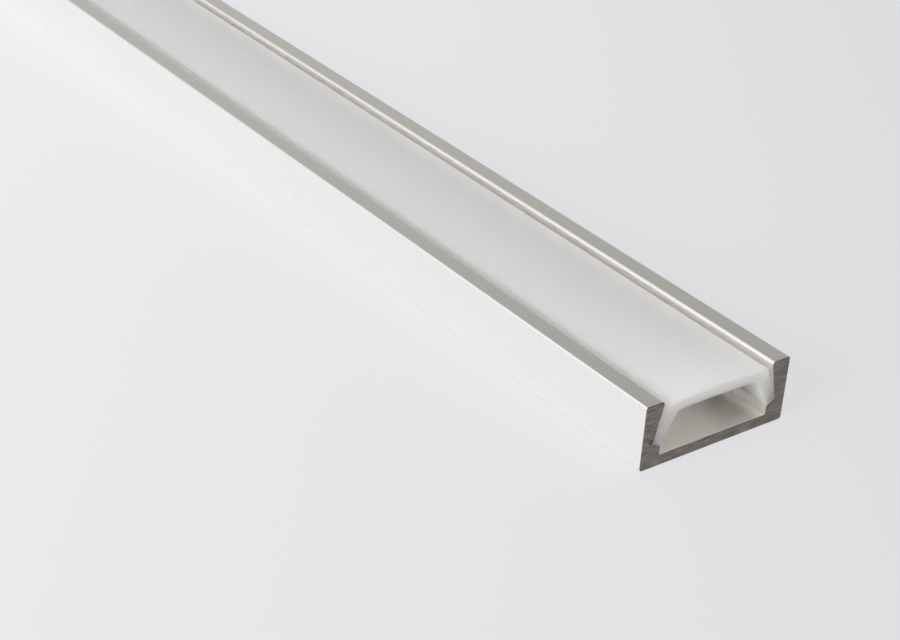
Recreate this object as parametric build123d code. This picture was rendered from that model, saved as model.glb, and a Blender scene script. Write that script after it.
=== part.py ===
from build123d import *
import os
from math import cos, hypot, radians, tan

# A surface-mounted aluminium profile for LED strip, with its snap-in opal cover. Both pieces are
# extrusions along X. Millimetres, +Z up. The origin is the middle of the underside, which is the
# face that is fixed to a wall, a shelf or a ceiling.

# Aluminium extrusion, overall
profile_length = 200.0
profile_width = 16.0
profile_height = 6.2

# Floor, the curbs on it, and the side walls, which lean inwards over the groove that they make
floor_thickness = 1.0
curb_height = 0.87
lip_width = 2.0
groove_depth = 0.87
ledge_angle = 28.0

# Rounded edges of the extrusion
underside_edge_radius = 0.3
outer_lip_radius = 0.18
inner_lip_radius = 0.28
curb_edge_radius = 0.08
floor_corner_radius = 0.2
groove_corner_radius = 0.12

# Opal cover: a plate on two legs that splay out into the groove
cover_recess = 0.5
lip_gap = 0.4
plate_thickness = 0.9
top_crown = 0.3
underside_crown = 0.06
leg_thickness = 1.7
toe_height = 0.65
foot_width = 0.85

# Rounded edges of the cover
plate_edge_radius = 0.2
leg_root_radius = 0.6
knee_radius = 0.3
toe_radius = 0.12
heel_radius = 0.25

# Running fit of the cover's feet in the groove, and how far the cover stops short of each end
groove_clearance = 0.05
end_setback = 0.1

# Corners of the extrusion's section, each as Y and Z on the +Y side
half_width = profile_width / 2
channel_y = half_width - lip_width
curb_top_z = floor_thickness + curb_height
groove_rise = groove_depth * tan(radians(ledge_angle))
outer_bottom = (half_width, 0)
outer_lip = (half_width, profile_height)
inner_lip = (channel_y, profile_height)
groove_corner = (channel_y + groove_depth, curb_top_z + groove_rise)
curb_edge = (channel_y, curb_top_z)
floor_corner = (channel_y, floor_thickness)


def crossing(point_a, slope_a, point_b, slope_b):
    """Where two lines cross. A line is a point and its rise for each unit of Y."""
    y_a, z_a = point_a
    y_b, z_b = point_b
    y = (z_b - z_a + slope_a * y_a - slope_b * y_b) / (slope_a - slope_b)
    return (y, z_a + slope_a * (y - y_a))


def mirrored(points):
    """The same corners on the -Y side, in the opposite order."""
    return [(-y, z) for y, z in reversed(points)]


def round_corners(section, corner, radius):
    """The section with a fillet at this corner and at its mirror image."""
    y, z = corner
    same_place = 0.001
    both_sides = [
        vertex
        for vertex in section.vertices()
        if hypot(abs(vertex.Y) - y, vertex.Z - z) < same_place
    ]
    return fillet(both_sides, radius)


def bar(section, length):
    """A section in the YZ plane, extruded equally both ways along X."""
    return extrude(section, amount=length / 2, dir=(1, 0, 0), both=True)


def profile_section():
    """Floor, curbs, sloping ledges and leaning walls."""
    right = [floor_corner, curb_edge, groove_corner, inner_lip, outer_lip, outer_bottom]
    section = make_face(Plane.YZ * Polyline(*right, *mirrored(right), close=True))
    section = round_corners(section, outer_bottom, underside_edge_radius)
    section = round_corners(section, outer_lip, outer_lip_radius)
    section = round_corners(section, inner_lip, inner_lip_radius)
    section = round_corners(section, groove_corner, groove_corner_radius)
    section = round_corners(section, curb_edge, curb_edge_radius)
    return round_corners(section, floor_corner, floor_corner_radius)


def leg_corners():
    """Corners of one leg of the cover, from the plate's edge round the foot to the leg's root."""
    wall_slope = (inner_lip[1] - groove_corner[1]) / (inner_lip[0] - groove_corner[0])
    ledge_slope = tan(radians(ledge_angle))
    wall_run = groove_clearance * hypot(1, 1 / wall_slope)
    ledge_run = groove_clearance / cos(radians(ledge_angle))

    # The foot's two faces follow the wall and the ledge at the running clearance
    beside_wall = (inner_lip[0] - wall_run, inner_lip[1])
    above_ledge = (curb_edge[0], curb_edge[1] + ledge_run)
    toe = crossing(beside_wall, wall_slope, above_ledge, ledge_slope)
    knee = (toe[0] + toe_height / wall_slope, toe[1] + toe_height)
    heel = (toe[0] - foot_width, toe[1] - foot_width * ledge_slope)

    # The leg hangs from the plate's edge, and its root is one leg's thickness further in
    edge = (channel_y - lip_gap, profile_height - cover_recess)
    leg_run = (knee[0] - edge[0]) / (edge[1] - knee[1])
    root_z = edge[1] - plate_thickness
    root = (edge[0] + plate_thickness * leg_run - leg_thickness, root_z)
    return [edge, knee, toe, heel, root]


def cover_section():
    """Slightly crowned plate on two splayed legs."""
    right = leg_corners()
    left = mirrored(right)
    edge, knee, toe, heel, root = right
    crown = ThreePointArc(left[-1], (0, edge[1] + top_crown), edge)
    ceiling = ThreePointArc(root, (0, root[1] + underside_crown), left[0])
    outline = crown + Polyline(*right) + ceiling + Polyline(*left)
    section = make_face(Plane.YZ * outline)
    section = round_corners(section, edge, plate_edge_radius)
    section = round_corners(section, knee, knee_radius)
    section = round_corners(section, toe, toe_radius)
    section = round_corners(section, heel, heel_radius)
    return round_corners(section, root, leg_root_radius)


def aluminium_profile():
    """The extrusion, sawn square at both ends."""
    return bar(profile_section(), profile_length)


def diffuser_cover():
    """The cover, cut just short of the extrusion's ends."""
    return bar(cover_section(), profile_length - 2 * end_setback)


nodes = {
    "aluminium_profile": aluminium_profile(),
    "diffuser_cover": diffuser_cover(),
}

os.makedirs("parts", exist_ok=True)
for name, shape in nodes.items():
    export_step(shape, f"parts/{name}.step")
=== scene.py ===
from math import atan2, cos, hypot, pi, radians, sin, tan

import bpy
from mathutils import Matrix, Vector
from mathutils.geometry import tessellate_polygon


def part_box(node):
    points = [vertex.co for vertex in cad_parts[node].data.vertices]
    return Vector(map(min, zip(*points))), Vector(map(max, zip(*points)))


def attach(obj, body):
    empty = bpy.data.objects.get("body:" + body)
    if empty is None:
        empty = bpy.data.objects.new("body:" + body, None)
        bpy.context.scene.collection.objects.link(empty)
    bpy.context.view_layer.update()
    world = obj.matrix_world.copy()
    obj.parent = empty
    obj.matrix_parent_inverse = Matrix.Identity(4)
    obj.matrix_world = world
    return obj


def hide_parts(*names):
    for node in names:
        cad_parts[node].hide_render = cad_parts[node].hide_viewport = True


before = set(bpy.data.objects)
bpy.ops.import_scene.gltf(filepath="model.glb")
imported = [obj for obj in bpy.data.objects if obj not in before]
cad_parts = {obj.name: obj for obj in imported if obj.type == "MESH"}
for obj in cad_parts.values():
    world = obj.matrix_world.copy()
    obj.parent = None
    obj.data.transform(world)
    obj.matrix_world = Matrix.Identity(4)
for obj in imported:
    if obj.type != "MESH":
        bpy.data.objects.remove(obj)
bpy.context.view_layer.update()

# A low aluminium channel for LED strip with its opal cover, lying on a pale floor. Metres, +Z up,
# with both pieces along X. The near end, which the camera sees, is at +X.

metal_low, metal_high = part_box("aluminium_profile")
cover_low, cover_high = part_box("diffuser_cover")
mm = 0.001

# Section of the aluminium, apart from its width and height, which come from the frame
floor_thickness = 1.0 * mm
curb_height = 0.87 * mm
lip_width = 2.0 * mm
groove_depth = 0.87 * mm
ledge_slope = tan(radians(28.0))
underside_edge_radius = 0.3 * mm
outer_lip_radius = 0.18 * mm
inner_lip_radius = 0.28 * mm
curb_edge_radius = 0.08 * mm
floor_corner_radius = 0.2 * mm
groove_corner_radius = 0.12 * mm

# Section of the cover
cover_recess = 0.5 * mm
lip_gap = 0.4 * mm
plate_thickness = 0.9 * mm
top_crown = 0.3 * mm
underside_crown = 0.06 * mm
leg_thickness = 1.7 * mm
toe_height = 0.65 * mm
foot_width = 0.85 * mm
groove_clearance = 0.05 * mm
plate_edge_radius = 0.2 * mm
leg_root_radius = 0.6 * mm
knee_radius = 0.3 * mm
toe_radius = 0.12 * mm
heel_radius = 0.25 * mm

# Ends: a broken edge round each, in a few steps
sawn_edge_radius = 0.04 * mm
cover_edge_radius = 0.05 * mm
cover_top_edge_radius = 0.18 * mm
edge_steps = 4

# The burr that the saw left near one groove: a torn pit at this Y and Z, with a curl of swarf that
# goes part of the way round it
burr_height = 0.05 * mm
pit_place = Vector((-6.98, 2.70)) * mm
pit_radius = 0.17 * mm
pit_depth = 0.2 * mm
curl_radius = 0.29 * mm
curl_thickness = 0.05 * mm
curl_start = radians(165)
curl_end = radians(285)

# How uneven the curl is: shares of its radius and thickness, and how many radians of a wave each
# runs through from one tip to the other
curl_waver = 0.12
curl_waver_run = 5.0
curl_thinning = 0.15
curl_thinning_run = 9.0
curl_tip_share = 0.12

# Corners of the sections on the +Y side
half_width = metal_high.y
top_z = metal_high.z
channel_y = half_width - lip_width
curb_top_z = floor_thickness + curb_height
outer_bottom = (half_width, 0)
outer_lip = (half_width, top_z)
inner_lip = (channel_y, top_z)
groove_corner = (channel_y + groove_depth, curb_top_z + groove_depth * ledge_slope)
curb_edge = (channel_y, curb_top_z)
floor_corner = (channel_y, floor_thickness)


def crossing(point_a, slope_a, point_b, slope_b):
    """Where two lines cross. A line is a point and its rise for each unit of Y."""
    y_a, z_a = point_a
    y_b, z_b = point_b
    y = (z_b - z_a + slope_a * y_a - slope_b * y_b) / (slope_a - slope_b)
    return (y, z_a + slope_a * (y - y_a))


def mirrored(corners):
    """The same corners on the -Y side, in the opposite order."""
    return [(-y, z, radius) for y, z, radius in reversed(corners)]


def metal_corners():
    """Corners of the aluminium, each with its fillet, counter-clockwise seen from +X."""
    right = [
        (*outer_bottom, underside_edge_radius),
        (*outer_lip, outer_lip_radius),
        (*inner_lip, inner_lip_radius),
        (*groove_corner, groove_corner_radius),
        (*curb_edge, curb_edge_radius),
        (*floor_corner, floor_corner_radius),
    ]
    return right + mirrored(right)


def cover_corners():
    """Corners of the cover, with the points of its two slight crowns.

    The foot's two faces follow the wall and the ledge at the running clearance.
    """
    wall_slope = (inner_lip[1] - groove_corner[1]) / (inner_lip[0] - groove_corner[0])
    wall_run = groove_clearance * hypot(1, 1 / wall_slope)
    ledge_run = groove_clearance * hypot(1, ledge_slope)
    beside_wall = (inner_lip[0] - wall_run, inner_lip[1])
    above_ledge = (curb_edge[0], curb_edge[1] + ledge_run)
    toe = crossing(beside_wall, wall_slope, above_ledge, ledge_slope)
    knee = (toe[0] + toe_height / wall_slope, toe[1] + toe_height)
    heel = (toe[0] - foot_width, toe[1] - foot_width * ledge_slope)
    edge = (channel_y - lip_gap, top_z - cover_recess)
    leg_run = (knee[0] - edge[0]) / (edge[1] - knee[1])
    root = (edge[0] + plate_thickness * leg_run - leg_thickness, edge[1] - plate_thickness)
    right = [
        (*root, leg_root_radius),
        (*heel, heel_radius),
        (*toe, toe_radius),
        (*knee, knee_radius),
        (*edge, plate_edge_radius),
    ]
    top = crown(edge, top_crown)
    ceiling = crown(root, underside_crown)
    return right + top + mirrored(right) + ceiling[::-1]


def crown(end, rise, points=15):
    """Points between an end and its mirror image, on a curve that rises in the middle."""
    shares = [1 - 2 * (i + 1) / (points + 1) for i in range(points)]
    return [(end[0] * share, end[1] + rise * (1 - share**2), 0) for share in shares]


def rounded(corners, steps=8):
    """Points and outward normals round a section. A corner without a radius is one point.

    At each corner the normal starts at the first angle, that of the side before it, and turns to
    that of the side after it. In a hollow corner the arc's centre lies outside the section.
    """
    ring = []
    for i, (y, z, radius) in enumerate(corners):
        corner = Vector((y, z))
        arriving = (corner - Vector(corners[i - 1][:2])).normalized()
        leaving = (Vector(corners[(i + 1) % len(corners)][:2]) - corner).normalized()
        first = atan2(-arriving.x, arriving.y)
        turn = (atan2(-leaving.x, leaving.y) - first + pi) % (2 * pi) - pi
        if radius == 0:
            middle = first + turn / 2
            ring.append((corner, Vector((cos(middle), sin(middle)))))
            continue
        outward = radius if turn > 0 else -radius
        normal = Vector((cos(first), sin(first)))
        centre = corner - arriving * radius * tan(abs(turn) / 2) - normal * outward
        for k in range(steps + 1):
            angle = first + turn * k / steps
            normal = Vector((cos(angle), sin(angle)))
            ring.append((centre + normal * outward, normal))
    return ring


class Body:
    """Vertices with their own normals, and faces with their material and places on the map."""

    def __init__(self):
        self.points = []
        self.normals = []
        self.faces = []
        self.materials = []
        self.map_places = []

    def add_points(self, points, normals):
        """Adds points and returns their numbers."""
        start = len(self.points)
        self.points.extend(points)
        self.normals.extend(normals)
        return list(range(start, len(self.points)))

    def add_face(self, face, material, map_places):
        """Adds a face by the numbers of its points, with a place on the map for each."""
        self.faces.append(face)
        self.materials.append(material)
        self.map_places.extend(map_places)

    def make(self, name, materials):
        """The piece, as an object in the scene."""
        mesh = bpy.data.meshes.new(name)
        mesh.from_pydata(self.points, [], self.faces)
        for material in materials:
            mesh.materials.append(material)
        mesh.polygons.foreach_set("material_index", self.materials)
        uv_map = mesh.uv_layers.new(name="OFBake")
        uv_map.data.foreach_set("uv", [n for place in self.map_places for n in place])
        mesh.shade_smooth()
        mesh.normals_split_custom_set_from_vertices(self.normals)
        piece = bpy.data.objects.new(name, mesh)
        bpy.context.scene.collection.objects.link(piece)
        return piece


# The map: the long sides fill its lower part. Above them the two ends and the curl lie in a row.
side_share = 0.8
upper_row = 0.83
end_row_height = 0.15
end_column_width = 0.42
end_columns = {-1: 0.02, 1: 0.5}
curl_column = 0.95
curl_column_width = 0.04
curl_row_height = 0.05

# Numbers of a piece's two materials
SIDES, ENDS = 0, 1


def end_map_place(point, end):
    """Place on the map of a point of an end face."""
    across = (point[1] + half_width) / (2 * half_width)
    up = point[2] / top_z
    return (end_columns[end] + end_column_width * across, upper_row + end_row_height * up)


def add_ring(body, section, radii, end_x, inward, tilt):
    """The section at one step of an end's rounding, where its normals tilt along X."""
    points, normals = [], []
    for (point, normal), radius in zip(section, radii):
        x = end_x + inward * radius * (1 - sin(abs(tilt)))
        points.append(Vector((x, *(point - normal * radius * (1 - cos(tilt))))))
        normals.append(Vector((sin(tilt), *(normal * cos(tilt)))))
    return body.add_points(points, normals)


def add_bar(body, section, low_x, high_x, radii, holes=()):
    """A section extruded along X, its ends rounded by a radius at each of its points.

    Holes are rings of points in the +X end.
    """
    around = len(section)
    run = [0]
    for i in range(around):
        run.append(run[-1] + (section[(i + 1) % around][0] - section[i][0]).length)
    turns = [pi / 2 * k / edge_steps for k in range(edge_steps + 1)]
    rings = [add_ring(body, section, radii, low_x, 1, -turn) for turn in reversed(turns)]
    rings += [add_ring(body, section, radii, high_x, -1, turn) for turn in turns]
    for i in range(len(rings) - 1):
        material = SIDES if i == edge_steps else ENDS
        for j in range(around):
            k = (j + 1) % around
            face = [rings[i][j], rings[i][k], rings[i + 1][k], rings[i + 1][j]]
            u = [(body.points[n].x - low_x) / (high_x - low_x) for n in face]
            v = [side_share * run[m] / run[-1] for m in (j, j + 1, j + 1, j)]
            body.add_face(face, material, list(zip(u, v)))
    add_end(body, [rings[0]], -1)
    add_end(body, [rings[-1], *holes], 1)


def add_end(body, rings, end):
    """A flat end face inside its first ring and outside the others."""
    numbers = [number for ring in rings for number in ring]
    for triangle in tessellate_polygon([[body.points[n] for n in ring] for ring in rings]):
        face = [numbers[k] for k in triangle]
        a, b, c = [body.points[n] for n in face]
        if (b - a).cross(c - a).x * end < 0:
            face.reverse()
        body.add_face(face, ENDS, [end_map_place(body.points[n], end) for n in face])


def add_pit(body, x, around=20, depths=6):
    """A small torn pit in the sawn end. Returns its rim, which is a hole in the end face."""
    rings = []
    for k in range(depths):
        share = 1 - k / depths
        depth = pit_depth * (1 + cos(pi * share)) / 2
        slope = pit_depth * pi / 2 / pit_radius * sin(pi * share)
        points, normals = [], []
        for i in range(around):
            out = Vector((cos(2 * pi * i / around), sin(2 * pi * i / around)))
            points.append(Vector((x - depth, *(pit_place + out * pit_radius * share))))
            normals.append(Vector((1, *(-out * slope))).normalized())
        rings.append(body.add_points(points, normals))
    bottom = body.add_points([Vector((x - pit_depth, *pit_place))], [Vector((1, 0, 0))])[0]
    for i in range(around):
        j = (i + 1) % around
        faces = [[a[i], a[j], b[j], b[i]] for a, b in zip(rings, rings[1:])]
        faces.append([rings[-1][i], rings[-1][j], bottom])
        for face in faces:
            body.add_face(face, ENDS, [end_map_place(body.points[n], 1) for n in face])
    return rings[0]


def add_curl(body, x, along=18, around=8):
    """The curl of swarf round the pit: an arc that is thick in the middle and tapers out."""
    rings = []
    for k in range(along + 1):
        share = k / along
        angle = curl_start + (curl_end - curl_start) * share
        out = Vector((0, cos(angle), sin(angle)))
        waver = 1 + curl_waver * sin(curl_waver_run * share)
        thinning = 1 - curl_thinning * (1 - cos(curl_thinning_run * share))
        centre = Vector((x, *pit_place)) + out * curl_radius * waver
        thickness = curl_thickness * max(curl_tip_share, sin(pi * share)) * thinning
        spokes = [2 * pi * i / around for i in range(around)]
        normals = [out * cos(a) + Vector((sin(a), 0, 0)) for a in spokes]
        rings.append(body.add_points([centre + normal * thickness for normal in normals], normals))
    u = [curl_column + curl_column_width * k / along for k in range(along + 1)]
    v = [upper_row + curl_row_height * i / around for i in range(around + 1)]
    for k, (a, b) in enumerate(zip(rings, rings[1:])):
        for i in range(around):
            j = (i + 1) % around
            places = [(u[k], v[i]), (u[k], v[i + 1]), (u[k + 1], v[i + 1]), (u[k + 1], v[i])]
            body.add_face([a[i], a[j], b[j], b[i]], ENDS, places)
    body.add_face(rings[0][::-1], ENDS, [(u[0], v[0])] * around)
    body.add_face(rings[-1], ENDS, [(u[0], v[0])] * around)


# Places of the values and of the colours among a Mix node's sockets
VALUE_A, VALUE_B, VALUE_OUT = 2, 3, 0
COLOUR_A, COLOUR_B, COLOUR_OUT = 6, 7, 2


def node_adder(tree):
    """A function that adds a node to a tree, with its inputs set or joined to other outputs."""

    def add(kind, inputs=None, **settings):
        node = tree.nodes.new(kind)
        for key, value in settings.items():
            setattr(node, key, value)
        for key, value in (inputs or {}).items():
            if isinstance(value, bpy.types.NodeSocket):
                tree.links.new(value, node.inputs[key])
            else:
                node.inputs[key].default_value = value
        return node

    return add


def shader_of(name):
    """A new material, its shader, and functions to add a node and to join an output to the shader."""
    material = bpy.data.materials.new(name)
    material.use_nodes = True
    tree = material.node_tree
    shader = tree.nodes["Principled BSDF"]

    def join(output, name):
        tree.links.new(output, shader.inputs[name])

    return material, shader, node_adder(tree), join


def streaks(add, size, detail=3.0, seed=0.0):
    """Noise in streaks of about this size along X, Y and Z, from 0 to 1."""
    place = add("ShaderNodeTexCoord").outputs["Object"]
    scale = [1 / length for length in size]
    stretched = add("ShaderNodeVectorMath", {0: place, 1: scale}, operation="MULTIPLY")
    inputs = {"Vector": stretched.outputs[0], "W": seed, "Scale": 1.0, "Detail": detail}
    return add("ShaderNodeTexNoise", inputs, noise_dimensions="4D").outputs[0]


def spread(add, value, low, high, start=0.3, end=0.7):
    """A value from start to end, spread from low to high. Most noise lies between 0.3 and 0.7."""
    inputs = {"Value": value, "From Min": start, "From Max": end, "To Min": low, "To Max": high}
    return add("ShaderNodeMapRange", inputs).outputs["Result"]


def blended(add, share, colour_a, colour_b, blend="MIX"):
    """A colour with a share of another blended over it. Each is linear, or a node's output."""
    inputs = {0: share}
    for socket, colour in ((COLOUR_A, colour_a), (COLOUR_B, colour_b)):
        inputs[socket] = colour if isinstance(colour, bpy.types.NodeSocket) else (*colour, 1)
    return add("ShaderNodeMix", inputs, data_type="RGBA", blend_type=blend).outputs[COLOUR_OUT]


def mean(add, value_a, value_b, share=0.5):
    """A value between two values, with this share of the second."""
    return add("ShaderNodeMix", {0: share, VALUE_A: value_a, VALUE_B: value_b}).outputs[VALUE_OUT]


def combined(add, operation, value_a, value_b):
    """Two values added or multiplied."""
    return add("ShaderNodeMath", {0: value_a, 1: value_b}, operation=operation).outputs[0]


def reach(add, vector, direction):
    """How far a vector reaches in a direction. For a unit vector it is the cosine between them."""
    inputs = {0: vector, 1: direction}
    return add("ShaderNodeVectorMath", inputs, operation="DOT_PRODUCT").outputs["Value"]


def relief(add, join, height, depth):
    """Bump from a height of 0 to 1 that is this many metres deep."""
    bump = add("ShaderNodeBump", {"Height": height, "Distance": depth, "Strength": 1.0})
    join(bump.outputs["Normal"], "Normal")


def anodised_aluminium():
    """Satin anodised metal with fine grain and faint die lines along the length."""
    material, shader, add, join = shader_of("anodised_aluminium")
    dull, bright = (0.945, 0.933, 0.911), (1.0, 0.991, 0.974)
    rough, smooth = 0.40, 0.30
    relief_depth = 0.004 * mm
    grain = streaks(add, (0.35 * mm, 0.13 * mm, 0.13 * mm))
    lines = streaks(add, (60 * mm, 0.35 * mm, 0.35 * mm), seed=3.0)
    both = mean(add, grain, lines)
    grain_share = spread(add, grain, 0, 1, start=0.35, end=0.6)
    shader.inputs["Metallic"].default_value = 1.0
    join(blended(add, grain_share, dull, bright), "Base Color")
    join(spread(add, both, rough, smooth), "Roughness")
    relief(add, join, both, relief_depth)
    return material


def sawn_aluminium():
    """Dull dark metal with fine saw marks across the width."""
    material, shader, add, join = shader_of("sawn_aluminium")
    dark, pale = (0.142, 0.122, 0.108), (0.3, 0.27, 0.245)
    rough, smooth = 0.55, 0.4
    relief_depth = 0.02 * mm
    marks = streaks(add, (1 * mm, 1.4 * mm, 0.1 * mm))
    patches = streaks(add, (1 * mm, 1.5 * mm, 0.8 * mm), seed=5.0)
    both = mean(add, marks, patches, share=0.35)
    pale_share = spread(add, both, 0, 1, start=0.36, end=0.64)
    shader.inputs["Metallic"].default_value = 1.0
    join(blended(add, pale_share, dark, pale), "Base Color")
    join(spread(add, marks, rough, smooth), "Roughness")
    relief(add, join, marks, relief_depth)
    return material


def opal(name):
    """Translucent white plastic, as a material whose finish is still to be set."""
    material, shader, add, join = shader_of(name)
    shader.inputs["IOR"].default_value = 1.49
    shader.inputs["Subsurface Weight"].default_value = 1.0
    shader.inputs["Subsurface Radius"].default_value = (0.96, 0.94, 0.87)
    shader.inputs["Subsurface Scale"].default_value = 4.5 * mm
    return material, add, join


def opal_plastic():
    """The cover's moulded faces: satin, with very faint lines along the length."""
    material, add, join = opal("opal_plastic")
    dull, bright = (0.972, 0.929, 0.882), (0.986, 0.943, 0.896)
    rough, smooth = 0.42, 0.34
    relief_depth = 0.0015 * mm
    haze = streaks(add, (25 * mm, 3 * mm, 3 * mm), seed=1.0)
    lines = streaks(add, (40 * mm, 0.25 * mm, 0.25 * mm), seed=2.0)
    join(blended(add, spread(add, haze, 0, 1), dull, bright), "Base Color")
    join(spread(add, mean(add, haze, lines), rough, smooth), "Roughness")
    relief(add, join, lines, relief_depth)
    return material


def cut_opal():
    """The cover's cut ends: duller, with faint marks of the cut."""
    material, add, join = opal("cut_opal")
    dull, bright = (0.91, 0.88, 0.83), (0.965, 0.935, 0.885)
    rough, smooth = 0.6, 0.48
    relief_depth = 0.006 * mm
    marks = streaks(add, (1 * mm, 0.09 * mm, 1.2 * mm), seed=7.0)
    join(blended(add, spread(add, marks, 0, 1), dull, bright), "Base Color")
    join(spread(add, marks, rough, smooth), "Roughness")
    relief(add, join, marks, relief_depth)
    return material


def aluminium_profile():
    """The extrusion with its sawn ends. The near face lies below the burr that stands on it."""
    body = Body()
    near_x = metal_high.x - burr_height
    rim = add_pit(body, near_x)
    section = rounded(metal_corners())
    radii = [sawn_edge_radius] * len(section)
    add_bar(body, section, metal_low.x, near_x, radii, [rim])
    add_curl(body, near_x)
    piece = body.make("profile_extrusion", [anodised_aluminium(), sawn_aluminium()])
    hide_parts("aluminium_profile")
    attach(piece, "profile")


def cut_edge_radius(normal):
    """Radius of the cover's cut edge where the section has this normal. It is largest on top."""
    upward = max(0, normal.y)
    return cover_edge_radius + (cover_top_edge_radius - cover_edge_radius) * upward**2


def diffuser_cover():
    """The opal cover with its cut ends."""
    body = Body()
    section = rounded(cover_corners())
    radii = [cut_edge_radius(normal) for _, normal in section]
    add_bar(body, section, cover_low.x, cover_high.x, radii)
    piece = body.make("opal_cover", [opal_plastic(), cut_opal()])
    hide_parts("diffuser_cover")
    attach(piece, "cover")


# The studio. Colours are linear, and directions are unit vectors from the object. The sky and the
# backdrop rise to their full strength between two cosines of the angle from their directions.
floor_size = 12.0
# Painted shade on the floor: its colour darkens from floor_bright to floor_dim along floor_dimming
floor_bright = (0.856, 0.858, 0.879)
floor_dim = (0.731, 0.733, 0.752)
floor_dimming = Vector((0.6, 0.8, 0)).normalized()
floor_dimming_start = -20 * mm
floor_dimming_end = 90 * mm
floor_glow = 0.88
sky_low = (0.218, 0.213, 0.201)
sky_high = (0.78, 0.773, 0.753)
sky_direction = Vector((-0.3, -0.7, 0.65)).normalized()
sky_rise = (0.25, 0.85)
backdrop = (0.45, 0.444, 0.425)
backdrop_direction = Vector((-0.76, 0.58, -0.29)).normalized()
backdrop_rise = (0.5, 1.0)
softbox_direction = Vector((0.1, -0.9, 0.42)).normalized()
softbox_distance = 4.2
softbox_size = 2.1
softbox_radiance = 13.9


def studio_floor():
    """A plain pale floor that dims a little across the view, as the photograph's does.

    Seen by the camera or in the metal, it is partly its own light, which softens the shadows on it.
    """
    half = floor_size / 2
    mesh = bpy.data.meshes.new("floor")
    corners = [(-half, -half, 0), (half, -half, 0), (half, half, 0), (-half, half, 0)]
    mesh.from_pydata(corners, [], [(0, 1, 2, 3)])
    material, shader, add, join = shader_of("pale_floor")
    place = add("ShaderNodeTexCoord").outputs["Object"]
    # Painted shade: the floor's colour darkens across the view, from floor_bright to floor_dim
    along = reach(add, place, floor_dimming)
    dimmed = spread(add, along, 0, 1, floor_dimming_start, floor_dimming_end)
    colour = blended(add, dimmed, floor_bright, floor_dim)
    join(colour, "Base Color")
    shader.inputs["Roughness"].default_value = 1.0
    shader.inputs["Specular IOR Level"].default_value = 0.0
    glow = add("ShaderNodeEmission", {"Color": colour})
    ray = add("ShaderNodeLightPath").outputs
    seen = combined(add, "ADD", ray["Is Camera Ray"], ray["Is Glossy Ray"])
    seen = combined(add, "ADD", seen, ray["Is Transmission Ray"])
    glowing = combined(add, "MULTIPLY", seen, floor_glow)
    both = add("ShaderNodeMixShader", {0: glowing, 1: shader.outputs[0], 2: glow.outputs[0]})
    output = material.node_tree.nodes["Material Output"]
    material.node_tree.links.new(both.outputs[0], output.inputs["Surface"])
    mesh.materials.append(material)
    floor = bpy.data.objects.new("floor", mesh)
    bpy.context.scene.collection.objects.link(floor)


def studio_world():
    """A bright sky on the left that falls off behind the object, and a pale backdrop low there.

    The camera sees it as pale as the floor.
    """
    world = bpy.data.worlds.new("studio")
    bpy.context.scene.world = world
    world.use_nodes = True
    tree = world.node_tree
    add = node_adder(tree)
    view = add("ShaderNodeTexCoord").outputs["Generated"]

    def toward(direction, rise):
        """0 to 1 as the view turns to a direction, between two cosines."""
        inputs = {"Value": reach(add, view, direction), "From Min": rise[0], "From Max": rise[1]}
        return add("ShaderNodeMapRange", inputs, interpolation_type="SMOOTHSTEP").outputs["Result"]

    sky = blended(add, toward(sky_direction, sky_rise), sky_low, sky_high)
    light = blended(add, toward(backdrop_direction, backdrop_rise), sky, backdrop, "ADD")
    seen = add("ShaderNodeLightPath").outputs["Is Camera Ray"]
    colour = blended(add, seen, light, floor_bright)
    tree.links.new(colour, tree.nodes["Background"].inputs["Color"])


def softbox():
    """One large soft light on the left, low enough to shade the crowned cover across its width."""
    light = bpy.data.lights.new("softbox", "AREA")
    light.shape = "SQUARE"
    light.size = softbox_size

    # The power of a flat light of this radiance
    light.energy = softbox_radiance * pi * softbox_size**2
    lamp = bpy.data.objects.new("softbox", light)
    lamp.location = softbox_direction * softbox_distance
    lamp.rotation_euler = softbox_direction.to_track_quat("Z", "Y").to_euler()
    bpy.context.scene.collection.objects.link(lamp)


# The camera, found from the four corners of the sawn end and the long edges in the photograph
camera_place = (0.19368, -0.10040, 0.08727)
camera_turn = (radians(60.3806), radians(-3.1411), radians(54.2600))
camera_lens = 76.80
camera_sensor = 36.0


def camera():
    """The photograph's view."""
    data = bpy.data.cameras.new("camera")
    data.sensor_width = camera_sensor
    data.lens = camera_lens
    data.clip_start = 10 * mm
    data.clip_end = 50.0
    view = bpy.data.objects.new("camera", data)
    view.location = camera_place
    view.rotation_euler = camera_turn
    bpy.context.scene.collection.objects.link(view)
    bpy.context.scene.camera = view


camera()
aluminium_profile()
diffuser_cover()
studio_floor()
studio_world()
softbox()
bpy.context.scene.view_settings.view_transform = "Standard"

# Light crosses the opal plastic many times between the channel's bright walls
paths = bpy.context.scene.cycles
paths.max_bounces = 32
paths.diffuse_bounces = 16
paths.glossy_bounces = 16
